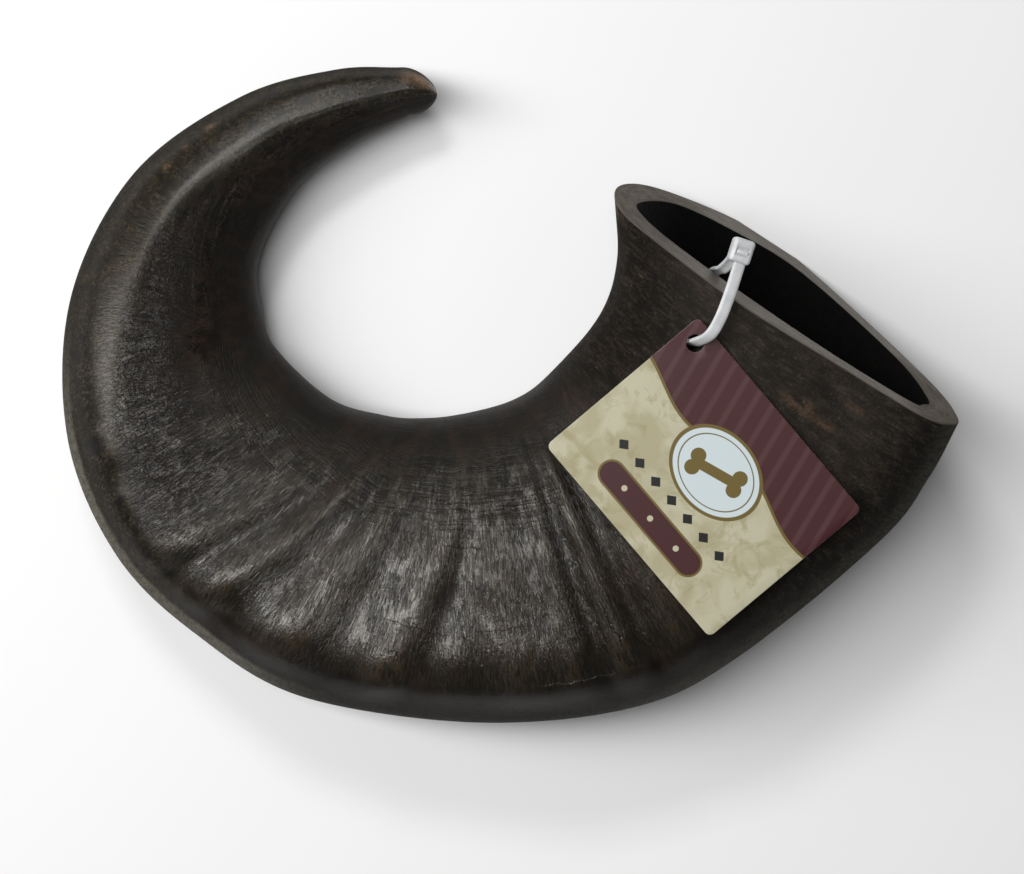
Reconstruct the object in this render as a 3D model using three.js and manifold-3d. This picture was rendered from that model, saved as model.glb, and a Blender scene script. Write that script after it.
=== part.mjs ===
// Buffalo horn chew: one curved horn, hollow at its sawn base, with a hang tag on a nylon tie.
// Millimetres, +Z up. The horn lies on its flat back. The origin is the middle of the box's underside.
import * as THREE from "three";
import { mergeVertices } from "three/addons/utils/BufferGeometryUtils.js";
import Module from "manifold-3d";

const wasm = await Module();
wasm.setup();

// Stations along the horn, the first near the tip and the last at the sawn mouth. Each has the inner and
// outer edge as seen from above, how thick the horn is there, and how high its back is above the surface.
const STATIONS = [
  { inner: [-28.5, 81], outer: [-30.5, 95], thickness: 14.5, lift: 8 },
  { inner: [-46, 72], outer: [-50.5, 94], thickness: 19, lift: 7 },
  { inner: [-61.5, 59.5], outer: [-78, 86], thickness: 24, lift: 4.5 },
  { inner: [-73, 38.5], outer: [-109.5, 63], thickness: 30, lift: 2 },
  { inner: [-71, 19.5], outer: [-127.5, 27], thickness: 35, lift: 0.5 },
  { inner: [-66, 10.5], outer: [-128, -14.5], thickness: 39, lift: 0 },
  { inner: [-51, -2.5], outer: [-113.5, -48], thickness: 42, lift: 0 },
  { inner: [-36, -7], outer: [-90, -70.5], thickness: 45, lift: 0 },
  { inner: [-25, -8], outer: [-59, -88.2], thickness: 48, lift: 0 },
  { inner: [-11, -6.5], outer: [-8, -95.2], thickness: 52, lift: 0 },
  { inner: [2.5, -2.5], outer: [36.3, -90.7], thickness: 55, lift: 0 },
  { inner: [12.5, 5], outer: [65.8, -76], thickness: 57.5, lift: 0 },
  { inner: [26, 21], outer: [105.3, -43], thickness: 61.5, lift: 0 },
  { inner: [30.5, 36.5], outer: [119, -24.6], thickness: 64, lift: 0 },
  { inner: [30, 55.5], outer: [127.6, -7.9], thickness: 66, lift: 0 },
];
const TIP = [-20.5, 87];
const MOUTH = STATIONS.length - 1;

// Cross-sections at four stations, as shares of width (inner edge 0, outer edge 1) and of thickness (back 0,
// face 1): inner end, inner shoulder, three points of the face, crease, outer upper, outer end, outer lower,
// the two edges of the flat back, and inner lower.
const SECTIONS = [
  {
    station: 0,
    points: [
      [0, 0.42], [0.08, 0.64], [0.22, 0.82], [0.34, 0.93], [0.44, 0.99], [0.54, 0.99],
      [0.82, 0.84], [1, 0.5], [0.92, 0.2], [0.6, 0], [0.38, 0], [0.1, 0.2],
    ],
  },
  {
    station: 4,
    points: [
      [0, 0.4], [0.05, 0.62], [0.22, 0.84], [0.4, 0.95], [0.57, 1], [0.7, 0.98],
      [0.89, 0.8], [1, 0.5], [0.93, 0.22], [0.58, 0], [0.36, 0], [0.1, 0.16],
    ],
  },
  {
    station: 9,
    points: [
      [0, 0.5], [0.05, 0.76], [0.22, 0.93], [0.45, 1], [0.7, 0.985], [0.87, 0.9],
      [0.975, 0.7], [1, 0.5], [0.92, 0.28], [0.54, 0], [0.34, 0], [0.09, 0.2],
    ],
  },
  {
    station: 14,
    points: [
      [0, 0.55], [0.04, 0.82], [0.19, 0.93], [0.4, 1], [0.68, 0.965], [0.9, 0.93],
      [0.98, 0.82], [0.995, 0.67], [0.88, 0.425], [0.48, 0], [0.3, 0], [0.08, 0.26],
    ],
  },
];

// The hollow's outline in the mouth, as shares of the mouth's width and thickness, in the same order.
const HOLLOW = [
  [0.064, 0.6], [0.104, 0.734], [0.22, 0.812], [0.42, 0.868], [0.65, 0.889], [0.86, 0.855],
  [0.902, 0.79], [0.91, 0.68], [0.8, 0.43], [0.5, 0.135], [0.3, 0.17], [0.14, 0.31],
];
const HOLLOW_MIDDLE = [0.48, 0.48];

// Folds across the face: the station and share of width at the outer and the inner end of each crest or
// valley, how far it rises or sinks, and its half width in stations.
const FOLDS = [
  { outer: [5.2, 0.85], inner: [5.6, 0.35], rise: 0.8, half: 0.2 },
  { outer: [5.4, 0.85], inner: [5.95, 0.35], rise: -0.7, half: 0.14 },
  { outer: [6.2, 0.85], inner: [6.65, 0.35], rise: 1.2, half: 0.16 },
  { outer: [6.45, 0.85], inner: [7, 0.35], rise: -0.9, half: 0.12 },
  { outer: [6.8, 0.88], inner: [7.35, 0.35], rise: 1.5, half: 0.15 },
  { outer: [7.15, 0.88], inner: [7.7, 0.4], rise: -1, half: 0.15 },
  { outer: [7.65, 0.85], inner: [8, 0.4], rise: 1.6, half: 0.2 },
  { outer: [8.05, 0.85], inner: [8.35, 0.4], rise: -0.7, half: 0.12 },
  { outer: [8.43, 0.85], inner: [8.75, 0.4], rise: 1.5, half: 0.13 },
  { outer: [8.65, 0.85], inner: [8.9, 0.5], rise: -0.7, half: 0.09 },
  { outer: [8.85, 0.88], inner: [9, 0.55], rise: 0.6, half: 0.09 },
  { outer: [9.3, 0.88], inner: [9.2, 0.35], rise: 1.2, half: 0.2 },
  { outer: [9.65, 0.88], inner: [9.75, 0.35], rise: 1, half: 0.13 },
  { outer: [9.9, 0.85], inner: [9.93, 0.1], rise: -1.4, half: 0.11 },
  { outer: [10.05, 0.88], inner: [10.1, 0.2], rise: 1.5, half: 0.14 },
  { outer: [10.35, 0.85], inner: [10.4, 0.15], rise: -1.4, half: 0.13 },
  { outer: [10.7, 0.88], inner: [10.8, 0.3], rise: 1.2, half: 0.25 },
];

// The sawn mouth leans back, so that its opening faces partly upwards.
const MOUTH_TILT = THREE.MathUtils.degToRad(21.4);
const MOUTH_TILT_START = 11;
const MOUTH_PIVOT_HEIGHT = 44.5;
const HOLLOW_END = 7.6;

const COLUMNS_PER_POINT = 3;
const RINGS_BETWEEN_STATIONS = [3, 5, 6, 6, 8, 9, 8, 9, 13, 12, 8, 6, 3, 3];
const TIP_RINGS = 5;
const HOLLOW_RINGS = 14;

// The hang tag lies over the face by its hole, tilted to the face's slope.
const TAG_LENGTH = 70;
const TAG_WIDTH = 55;
const TAG_THICKNESS = 0.5;
const TAG_CORNER_RADIUS = 1.8;
const TAG_HOLE_RADIUS = 2.5;
const TAG_HOLE = [-30, 22.2];
const TAG_MIDDLE = [54.4, -24.7, 61.6];
const TAG_TURN = [4.2, 3, -49.5].map(THREE.MathUtils.degToRad);

// The tie's loop follows a leaning plane through the tag's hole. Its points are distances from there:
// towards the mouth, aside and upwards, starting in the hole drilled through the horn's wall.
const TIE_HEADING = THREE.MathUtils.degToRad(65.5);
const TIE_LEAN = THREE.MathUtils.degToRad(11);
const TIE_LOOP = [
  [0, 0, -9], [0, 0, -3.5], [0.6, -0.1, 1.2], [3.6, -1.7, 4.8], [9, -2, 6.2], [16, -1.4, 6.8],
  [23, -0.6, 6.6], [27.2, 0, 6.2], [28.4, 0, 3.8], [26.8, 0, 0.2], [24, 0, -3.4], [22.2, 0, -7.4],
  [21.9, 0, -11.4], [21, 0, -15], [17.6, 0, -17.6], [12, 0, -18.8], [5.4, 0, -19.2], [1.2, 0, -17.8],
  [0, 0, -14],
];
const STRAP_WIDTH = 3.3;
const STRAP_THICKNESS = 1.1;
const STRAP_STEPS = 54;
const HEAD_MIDDLE = [27.8, 0.4, 5.6];
const HEAD_TURN = THREE.MathUtils.degToRad(7);
const HEAD_LENGTH = 6.8;
const HEAD_WIDTH = 6;
const HEAD_HEIGHT = 4.6;
const HEAD_CORNER_RADIUS = 1.1;
const DRILL_RADIUS = 2.4;
const DRILL_REACH = [-30, -1];

const HORN_COLOUR = 0x2a211c;
const TAG_COLOUR = 0xcdbf97;
const TIE_COLOUR = 0xececec;

const smooth = THREE.MathUtils.smoothstep;

// A smooth curve through one pair of values for each station, read by station number.
function throughStations(pair) {
  const points = STATIONS.map((station) => new THREE.Vector3(...pair(station), 0));
  const curve = new THREE.CatmullRomCurve3(points, false, "catmullrom", 0.5);
  return (station) => curve.getPoint(station / MOUTH);
}

const innerEdge = throughStations((station) => station.inner);
const outerEdge = throughStations((station) => station.outer);
const depths = throughStations((station) => [station.thickness, station.lift]);

// A smooth closed outline through pairs of shares.
function closedCurve(pairs) {
  const points = pairs.map(([across, up]) => new THREE.Vector3(across, up, 0));
  return new THREE.CatmullRomCurve3(points, true, "catmullrom", 0.5);
}

// The outline of the cross-section at a station, blended between the two nearest ones given.
function sectionAt(station) {
  const next = Math.max(1, SECTIONS.findIndex((section) => section.station >= station));
  const lower = SECTIONS[next - 1];
  const upper = SECTIONS[next];
  const blend = smooth(station, lower.station, upper.station);
  return closedCurve(
    lower.points.map(([across, up], i) => [
      THREE.MathUtils.lerp(across, upper.points[i][0], blend),
      THREE.MathUtils.lerp(up, upper.points[i][1], blend),
    ]),
  );
}

const columns = COLUMNS_PER_POINT * HOLLOW.length;
const hollowOutline = closedCurve(HOLLOW);

// A point of the horn at a station, from its shares of width and thickness there.
function hornPoint(station, across, up) {
  const inner = innerEdge(station);
  const outer = outerEdge(station);
  const { x: thickness, y: lift } = depths(station);
  const point = inner.clone().lerp(outer, across);
  point.z = Math.max(0, lift + thickness * up);
  const along = outer.clone().sub(inner).normalize();
  along.set(-along.y, along.x, 0);
  const lean = Math.tan(MOUTH_TILT) * smooth(station, MOUTH_TILT_START, MOUTH);
  return point.addScaledVector(along, lean * (MOUTH_PIVOT_HEIGHT - point.z));
}

// How far the folds raise the face at a station and share of width.
function foldHeight(station, across) {
  const height = FOLDS.reduce((sum, { outer, inner, rise, half }) => {
    const share = (across - inner[1]) / (outer[1] - inner[1]);
    const crest = THREE.MathUtils.lerp(inner[0], outer[0], share);
    return sum + rise * Math.exp(-(((station - crest) / half) ** 2));
  }, 0);
  return height * smooth(across, 0.03, 0.3) * (1 - smooth(across, 0.78, 0.98));
}

function outerRing(station) {
  const section = sectionAt(station);
  const { x: thickness } = depths(station);
  return Array.from({ length: columns }, (_, i) => {
    const { x: across, y: up } = section.getPoint(i / columns);
    const raised = up > 0.5 ? foldHeight(station, across) / thickness : 0;
    return hornPoint(station, across, up + raised);
  });
}

// A ring of the rounded tip: the first station's ring drawn in towards the tip, as on a dome.
function tipRing(share) {
  const ring = outerRing(0);
  const middle = ring.reduce((sum, point) => sum.add(point), new THREE.Vector3()).divideScalar(columns);
  const size = (1 - (1 - share) ** 1.8) ** 0.6;
  const centre = new THREE.Vector3(...TIP, middle.z).lerp(middle, share);
  return ring.map((point) => point.sub(middle).multiplyScalar(size).add(centre));
}

// A ring of the hollow, which narrows from the mouth to its rounded end.
function hollowRing(station) {
  const depth = (MOUTH - station) / (MOUTH - HOLLOW_END);
  const size = (1 - 0.3 * depth) * Math.sqrt(1 - depth ** 4);
  const [middleAcross, middleUp] = HOLLOW_MIDDLE;
  return Array.from({ length: columns }, (_, i) => {
    const { x: across, y: up } = hollowOutline.getPoint(i / columns);
    return hornPoint(
      station,
      middleAcross + (across - middleAcross) * size,
      middleUp + (up - middleUp) * size,
    );
  });
}

// A closed mesh through rings of equal length, which runs to a point at both ends.
function loft(start, rings, end) {
  const positions = [start, ...rings.flat(), end].flatMap((point) => point.toArray());
  const count = rings[0].length;
  const indices = [];
  const at = (ring, i) => 1 + ring * count + (i % count);
  for (let i = 0; i < count; i++) {
    indices.push(0, at(0, i + 1), at(0, i));
    for (let ring = 0; ring < rings.length - 1; ring++) {
      indices.push(at(ring, i), at(ring + 1, i + 1), at(ring + 1, i));
      indices.push(at(ring, i), at(ring, i + 1), at(ring + 1, i + 1));
    }
    indices.push(at(rings.length - 1, i), at(rings.length - 1, i + 1), rings.length * count + 1);
  }
  const geometry = new THREE.BufferGeometry();
  geometry.setAttribute("position", new THREE.Float32BufferAttribute(positions, 3));
  geometry.setIndex(indices);
  return geometry;
}

function hornGeometry() {
  const rings = [];
  for (let i = 1; i < TIP_RINGS; i++) {
    rings.push(tipRing((i / TIP_RINGS) ** 2));
  }
  RINGS_BETWEEN_STATIONS.forEach((count, station) => {
    for (let i = 0; i < count; i++) {
      rings.push(outerRing(station + i / count));
    }
  });
  rings.push(outerRing(MOUTH));
  for (let i = 0; i < HOLLOW_RINGS; i++) {
    rings.push(hollowRing(THREE.MathUtils.lerp(MOUTH, HOLLOW_END, i / HOLLOW_RINGS)));
  }
  const tip = new THREE.Vector3(...TIP, rings[0].reduce((sum, point) => sum + point.z, 0) / columns);
  return loft(tip, rings, hornPoint(HOLLOW_END, ...HOLLOW_MIDDLE));
}

// A flat plate with round corners, its middle at the origin and its thickness along Z.
function roundedPlate(length, width, thickness, radius, hole) {
  const [x, y] = [length / 2, width / 2];
  const shape = new THREE.Shape();
  shape.absarc(x - radius, y - radius, radius, 0, Math.PI / 2);
  shape.absarc(radius - x, y - radius, radius, Math.PI / 2, Math.PI);
  shape.absarc(radius - x, radius - y, radius, Math.PI, 1.5 * Math.PI);
  shape.absarc(x - radius, radius - y, radius, 1.5 * Math.PI, 2 * Math.PI);
  if (hole) {
    shape.holes.push(hole);
  }
  const options = { depth: thickness, bevelEnabled: false, curveSegments: 6 };
  return new THREE.ExtrudeGeometry(shape, options).translate(0, 0, -thickness / 2);
}

function tagGeometry() {
  const hole = new THREE.Path().absarc(...TAG_HOLE, TAG_HOLE_RADIUS, 0, 2 * Math.PI, true);
  return roundedPlate(TAG_LENGTH, TAG_WIDTH, TAG_THICKNESS, TAG_CORNER_RADIUS, hole);
}

const tagTurn = new THREE.Euler(...TAG_TURN, "ZYX");

// The tie's plane: its origin in the tag's hole, the direction towards the mouth, the one upwards in the
// plane, and the strap's width direction square to both.
const tieOrigin = new THREE.Vector3(...TAG_HOLE, 0).applyEuler(tagTurn).add(new THREE.Vector3(...TAG_MIDDLE));
const tieForward = new THREE.Vector3(Math.cos(TIE_HEADING), Math.sin(TIE_HEADING), 0);
const tieUp = new THREE.Vector3(tieForward.y, -tieForward.x, 0).multiplyScalar(Math.sin(TIE_LEAN));
tieUp.z = Math.cos(TIE_LEAN);
const tieAside = tieForward.clone().cross(tieUp);
const tiePlane = new THREE.Matrix4().makeBasis(tieForward, tieAside.clone().negate(), tieUp);
tiePlane.setPosition(tieOrigin);

// The strap's closed loop as a ring of rectangles, in the plane's own frame: X forwards, Y aside, Z up.
function strapGeometry() {
  const loop = new THREE.CatmullRomCurve3(
    TIE_LOOP.map((point) => new THREE.Vector3(...point)),
    true,
    "catmullrom",
    0.5,
  );
  const positions = [];
  const indices = [];
  for (let i = 0; i < STRAP_STEPS; i++) {
    const middle = loop.getPointAt(i / STRAP_STEPS);
    const tangent = loop.getTangentAt(i / STRAP_STEPS);
    const outwards = new THREE.Vector3(-tangent.z, 0, tangent.x).setLength(STRAP_THICKNESS / 2);
    const sides = [[-1, -1], [1, -1], [1, 1], [-1, 1]];
    sides.forEach(([aside, out], k) => {
      const corner = middle.clone().addScaledVector(outwards, out);
      corner.y += (aside * STRAP_WIDTH) / 2;
      positions.push(...corner.toArray());
      const here = 4 * i + k;
      const beside = 4 * i + ((k + 1) % 4);
      const [next, nextBeside] = [here, beside].map((index) => (index + 4) % (4 * STRAP_STEPS));
      indices.push(here, beside, nextBeside, here, nextBeside, next);
    });
  }
  const geometry = new THREE.BufferGeometry();
  geometry.setAttribute("position", new THREE.Float32BufferAttribute(positions, 3));
  geometry.setIndex(indices);
  return geometry;
}

function headGeometry() {
  const head = roundedPlate(HEAD_LENGTH, HEAD_WIDTH, HEAD_HEIGHT, HEAD_CORNER_RADIUS);
  return head.rotateZ(HEAD_TURN).translate(...HEAD_MIDDLE);
}

// The hole drilled through the horn's wall for the tie, along the tie's own plane.
function drillGeometry() {
  const [bottom, top] = DRILL_REACH;
  const drill = new THREE.CylinderGeometry(DRILL_RADIUS, DRILL_RADIUS, top - bottom, 24);
  return drill.rotateX(Math.PI / 2).translate(0, 0, (top + bottom) / 2).applyMatrix4(tiePlane);
}

function solid(geometry) {
  const bare = new THREE.BufferGeometry();
  bare.setAttribute("position", geometry.getAttribute("position"));
  bare.setIndex(geometry.getIndex());
  const merged = mergeVertices(bare);
  return new wasm.Manifold(
    new wasm.Mesh({
      numProp: 3,
      vertProperties: merged.getAttribute("position").array,
      triVerts: new Uint32Array(merged.getIndex().array),
    }),
  );
}

function geometryOf(manifold) {
  const { vertProperties, triVerts } = manifold.getMesh();
  const geometry = new THREE.BufferGeometry();
  geometry.setAttribute("position", new THREE.BufferAttribute(vertProperties, 3));
  geometry.setIndex(new THREE.BufferAttribute(triVerts, 1));
  return geometry;
}

function piece(name, geometry, colour, roughness) {
  const material = new THREE.MeshStandardMaterial({ color: colour, roughness, metalness: 0 });
  const mesh = new THREE.Mesh(geometry, material);
  mesh.name = name;
  return mesh;
}

const horn = piece(
  "horn",
  geometryOf(solid(hornGeometry()).subtract(solid(drillGeometry()))),
  HORN_COLOUR,
  0.5,
);

const tag = piece("hang_tag", tagGeometry(), TAG_COLOUR, 0.45);
tag.position.set(...TAG_MIDDLE);
tag.rotation.copy(tagTurn);

const tie = piece("cable_tie", geometryOf(solid(strapGeometry()).add(solid(headGeometry()))), TIE_COLOUR, 0.4);
tie.applyMatrix4(tiePlane);

const chew = new THREE.Group();
chew.add(horn, tag, tie);
const box = new THREE.Box3().setFromObject(chew, true);
const middle = box.getCenter(new THREE.Vector3());
chew.position.set(-middle.x, -middle.y, -box.min.z);

export default chew;
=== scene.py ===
"""Looks of a buffalo horn chew: the horn, its printed card and its nylon tie.

The shapes' own values are in millimetres, as in the solids, and the scene is in metres.
"""
import math
from types import SimpleNamespace

import bpy
import numpy as np
from mathutils import Euler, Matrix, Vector


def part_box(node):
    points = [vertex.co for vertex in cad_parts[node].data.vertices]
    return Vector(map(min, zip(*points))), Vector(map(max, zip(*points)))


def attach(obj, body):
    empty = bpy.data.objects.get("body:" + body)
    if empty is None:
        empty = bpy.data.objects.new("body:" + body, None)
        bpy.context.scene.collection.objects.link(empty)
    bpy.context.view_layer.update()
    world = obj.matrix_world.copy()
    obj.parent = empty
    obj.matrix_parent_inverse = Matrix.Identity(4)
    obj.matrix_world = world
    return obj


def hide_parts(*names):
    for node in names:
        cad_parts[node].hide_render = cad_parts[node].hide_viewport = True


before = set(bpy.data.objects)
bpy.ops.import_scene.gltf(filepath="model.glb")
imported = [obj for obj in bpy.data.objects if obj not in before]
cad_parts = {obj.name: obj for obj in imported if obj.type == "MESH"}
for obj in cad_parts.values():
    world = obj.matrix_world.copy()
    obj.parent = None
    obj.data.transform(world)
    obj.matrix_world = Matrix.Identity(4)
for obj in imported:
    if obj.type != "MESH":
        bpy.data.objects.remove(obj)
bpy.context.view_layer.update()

MM = 0.001

# The horn, by stations from near the tip to the sawn mouth: inner edge, outer edge, thickness and lift.
STATIONS = np.array([
    [-28.5, 81, -30.5, 95, 14.5, 8],
    [-46, 72, -50.5, 94, 19, 7],
    [-61.5, 59.5, -78, 86, 24, 4.5],
    [-73, 38.5, -109.5, 63, 30, 2],
    [-71, 19.5, -127.5, 27, 35, 0.5],
    [-66, 10.5, -128, -14.5, 39, 0],
    [-51, -2.5, -113.5, -48, 42, 0],
    [-36, -7, -90, -70.5, 45, 0],
    [-25, -8, -59, -88.2, 48, 0],
    [-11, -6.5, -8, -95.2, 52, 0],
    [2.5, -2.5, 36.3, -90.7, 55, 0],
    [12.5, 5, 65.8, -76, 57.5, 0],
    [26, 21, 105.3, -43, 61.5, 0],
    [30.5, 36.5, 119, -24.6, 64, 0],
    [30, 55.5, 127.6, -7.9, 66, 0],
])
TIP = np.array([-20.5, 87])
MOUTH = len(STATIONS) - 1

# Cross-sections as shares of width and thickness, each from the inner end over the face to the outer end
# and back under the horn.
SECTION_STATIONS = np.array([0, 4, 9, 14])
SECTIONS = np.array([
    [[0, 0.42], [0.08, 0.64], [0.22, 0.82], [0.34, 0.93], [0.44, 0.99], [0.54, 0.99],
     [0.82, 0.84], [1, 0.5], [0.92, 0.2], [0.6, 0], [0.38, 0], [0.1, 0.2]],
    [[0, 0.4], [0.05, 0.62], [0.22, 0.84], [0.4, 0.95], [0.57, 1], [0.7, 0.98],
     [0.89, 0.8], [1, 0.5], [0.93, 0.22], [0.58, 0], [0.36, 0], [0.1, 0.16]],
    [[0, 0.5], [0.05, 0.76], [0.22, 0.93], [0.45, 1], [0.7, 0.985], [0.87, 0.9],
     [0.975, 0.7], [1, 0.5], [0.92, 0.28], [0.54, 0], [0.34, 0], [0.09, 0.2]],
    [[0, 0.55], [0.04, 0.82], [0.19, 0.93], [0.4, 1], [0.68, 0.965], [0.9, 0.93],
     [0.98, 0.82], [0.995, 0.67], [0.88, 0.425], [0.48, 0], [0.3, 0], [0.08, 0.26]],
])
HOLLOW = np.array([
    [0.064, 0.6], [0.104, 0.734], [0.22, 0.812], [0.42, 0.868], [0.65, 0.889], [0.86, 0.855],
    [0.902, 0.79], [0.91, 0.68], [0.8, 0.43], [0.5, 0.135], [0.3, 0.17], [0.14, 0.31],
])
HOLLOW_MIDDLE = np.array([0.48, 0.48])
HOLLOW_END = 7.6

# Folds across the face: station and share of width at the outer and at the inner end, rise and half width.
FOLDS = np.array([
    [5.2, 0.85, 5.6, 0.35, 0.8, 0.2],
    [5.4, 0.85, 5.95, 0.35, -0.7, 0.14],
    [6.2, 0.85, 6.65, 0.35, 1.2, 0.16],
    [6.45, 0.85, 7, 0.35, -0.9, 0.12],
    [6.8, 0.88, 7.35, 0.35, 1.5, 0.15],
    [7.15, 0.88, 7.7, 0.4, -1, 0.15],
    [7.65, 0.85, 8, 0.4, 1.6, 0.2],
    [8.05, 0.85, 8.35, 0.4, -0.7, 0.12],
    [8.43, 0.85, 8.75, 0.4, 1.5, 0.13],
    [8.65, 0.85, 8.9, 0.5, -0.7, 0.09],
    [8.85, 0.88, 9, 0.55, 0.6, 0.09],
    [9.3, 0.88, 9.2, 0.35, 1.2, 0.2],
    [9.65, 0.88, 9.75, 0.35, 1, 0.13],
    [9.9, 0.85, 9.93, 0.1, -1.4, 0.11],
    [10.05, 0.88, 10.1, 0.2, 1.5, 0.14],
    [10.35, 0.85, 10.4, 0.15, -1.4, 0.13],
    [10.7, 0.88, 10.8, 0.3, 1.2, 0.25],
])

MOUTH_TILT = math.radians(21.4)
MOUTH_TILT_START = 11
MOUTH_PIVOT_HEIGHT = 44.5

# Columns of the fine mesh between each two of the section's points, and its rings.
COLUMNS = [12, 26, 28, 30, 24, 18, 12, 12, 12, 8, 12, 12]
FIRST_COLUMN = 9.5
TOP_COLUMN = 4
OUTSIDE_RINGS = 385
TIP_RINGS = 16
HOLLOW_RINGS = 34
RIM_SHARES = [0.012, 0.04, 0.12, 0.35, 0.65, 0.88, 0.96, 0.988]
RIM_EDGE_STATIONS = [13.975, 13.992]

# The crease where the round outer band meets the dished face near the tip: station and share of width.
CREASE = np.array([
    [0, 0.42], [1.4, 0.45], [2.2, 0.5], [2.8, 0.6], [3.3, 0.66], [3.7, 0.7], [4.25, 0.74], [5, 0.79],
    [5.5, 0.83], [6.25, 0.88], [8, 0.92],
])

# Broad relief on the face, in millimetres: the dish inside the crease and the shoulder along the folds' ends.
DISH_DEPTH = 0.75
SHOULDER_HEIGHT = 2.2
SUNK_UNDER_CARD = 0.25

# How the material's pattern runs on over the rounded tip and round the rim into the hollow.
TIP_LENGTH = 8
TIP_STATIONS = 0.25
RIM_RING_LENGTH = 4
FULL_GIRTH = 220

# Pale rubbed spots: station, share of width, half length in stations, half width in shares, strength.
RUBS = [
    (-0.12, 0.72, 0.12, 0.16, 1.0),
    (2.34, 0.88, 0.03, 0.022, 0.5),
    (2.57, 0.85, 0.03, 0.02, 0.4),
    (2.79, 0.83, 0.035, 0.02, 0.4),
    (13.0, 0.6, 0.14, 0.05, 0.26),
    (12.94, 0.69, 0.08, 0.03, 0.22),
    (13.5, 0.75, 0.06, 0.04, 0.2),
    (13.93, 0.0, 0.1, 0.04, 0.45),
]

# Cracks in the face: station, share of width, heading from the direction of growth in degrees, half length
# and half width in millimetres.
CRACKS = [
    (10.08, 0.73, 84, 8, 0.3),
    (8.9, 0.425, 4, 7, 0.14),
    (8.6, 0.69, 10, 9, 0.13),
    (9.2, 0.685, -3, 8, 0.12),
    (9.7, 0.86, 3, 9, 0.2),
    (4.9, 0.6, 88, 7, 0.16),
    (5.15, 0.55, 80, 6, 0.15),
    (5.0, 0.42, 85, 5, 0.12),
    (4.55, 0.62, 86, 6, 0.13),
    (4.3, 0.5, 84, 5, 0.12),
    (6.9, 0.3, 5, 12, 0.1),
    (7.6, 0.24, -2, 14, 0.1),
]

# The card, as in the solids.
TAG_LENGTH = 70
TAG_WIDTH = 55
TAG_THICKNESS = 0.5
TAG_CORNER_RADIUS = 1.8
TAG_HOLE_RADIUS = 2.5
TAG_HOLE = np.array([-30, 22.2])
TAG_MIDDLE = np.array([54.4, -24.7, 61.6])
TAG_TURN = np.array(Euler([math.radians(angle) for angle in (4.2, 3, -49.5)], "XYZ").to_matrix())

# The tie's loop from the card's hole, as in the solids: towards the mouth, aside and upwards.
TIE_HEADING = math.radians(65.5)
TIE_LEAN = math.radians(11)
TIE_LOOP = np.array([
    [0, 0, -9], [0, 0, -3.5], [0.6, -0.1, 1.2], [3.6, -1.7, 4.8], [9, -2, 6.2], [16, -1.4, 6.8],
    [23, -0.6, 6.6], [27.2, 0, 6.2], [28.4, 0, 3.8], [26.8, 0, 0.2], [24, 0, -3.4], [22.2, 0, -7.4],
    [21.9, 0, -11.4], [21, 0, -15], [17.6, 0, -17.6], [12, 0, -18.8], [5.4, 0, -19.2], [1.2, 0, -17.8],
    [0, 0, -14],
])
STRAP_WIDTH = 3.3
STRAP_THICKNESS = 1.1
HEAD_MIDDLE = np.array([27.8, 0.4, 5.6])
HEAD_TURN = math.radians(7)
HEAD_SIZE = np.array([6.8, 6, 4.6])
DRILL_RADIUS = 2.4
DRILL_REACH = (-30, -1)
DRILL_SIDES = 48

# The camera looks straight down, as the photograph does.
CAMERA_PLACE = (0.00268, -0.01317, 0.848)
CAMERA_LENS = 100
SENSOR_WIDTH = 36


# Numbers and curves

def smooth(value, low, high):
    share = np.clip((value - low) / (high - low), 0, 1)
    return share * share * (3 - 2 * share)


def bump(value, middle, half):
    return np.exp(-(((value - middle) / half) ** 2))


def catmull_rom(a, b, c, d, share):
    return 0.5 * (
        2 * b
        + (c - a) * share
        + (2 * a - 5 * b + 4 * c - d) * share**2
        + (3 * b - a - 3 * c + d) * share**3
    )


def open_spline(points, places):
    """A smooth curve through the points, read at fractional indices."""
    padded = np.vstack([2 * points[0] - points[1], points, 2 * points[-1] - points[-2]])
    first = np.clip(np.floor(places).astype(int), 0, len(points) - 2)
    share = (places - first)[..., None]
    return catmull_rom(*(padded[first + k] for k in range(4)), share)


def closed_spline(points, places):
    """A smooth closed curve for each row of points, shaped rows x points x values."""
    first = np.floor(places).astype(int)
    share = (places - first)[:, None]
    count = points.shape[-2]
    return catmull_rom(*(points[..., (first + k) % count, :] for k in (-1, 0, 1, 2)), share)


def distances(points):
    """Distance of each point from the first, along the line through them."""
    steps = np.linalg.norm(np.diff(points, axis=0), axis=1)
    return np.concatenate([[0], np.cumsum(steps)])


LATTICE_SIZE = 64
LATTICE = np.random.default_rng(11).uniform(-1, 1, (LATTICE_SIZE, LATTICE_SIZE))


def noise(x, y, layer=0):
    """Smooth noise from -1 to 1 with one bump or hollow for each unit of x and y."""
    x = x + 17.3 * layer
    y = y + 5.9 * layer
    i = np.floor(x).astype(int)
    j = np.floor(y).astype(int)
    across = smooth(x - i, 0, 1)
    up = smooth(y - j, 0, 1)
    corners = [LATTICE[(i + di) % LATTICE_SIZE, (j + dj) % LATTICE_SIZE] for dj in (0, 1) for di in (0, 1)]
    low = corners[0] * (1 - across) + corners[1] * across
    high = corners[2] * (1 - across) + corners[3] * across
    return low * (1 - up) + high * up


# Meshes

def grid_faces(rings, count, wrap):
    ring = np.arange(rings if wrap else rings - 1)[:, None]
    column = np.arange(count)[None, :]
    here = ring * count + column
    beside = ring * count + (column + 1) % count
    above = (here + count) % (rings * count)
    above_beside = (beside + count) % (rings * count)
    return np.stack([here, beside, above_beside, above], axis=-1).reshape(-1, 4).tolist()


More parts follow.
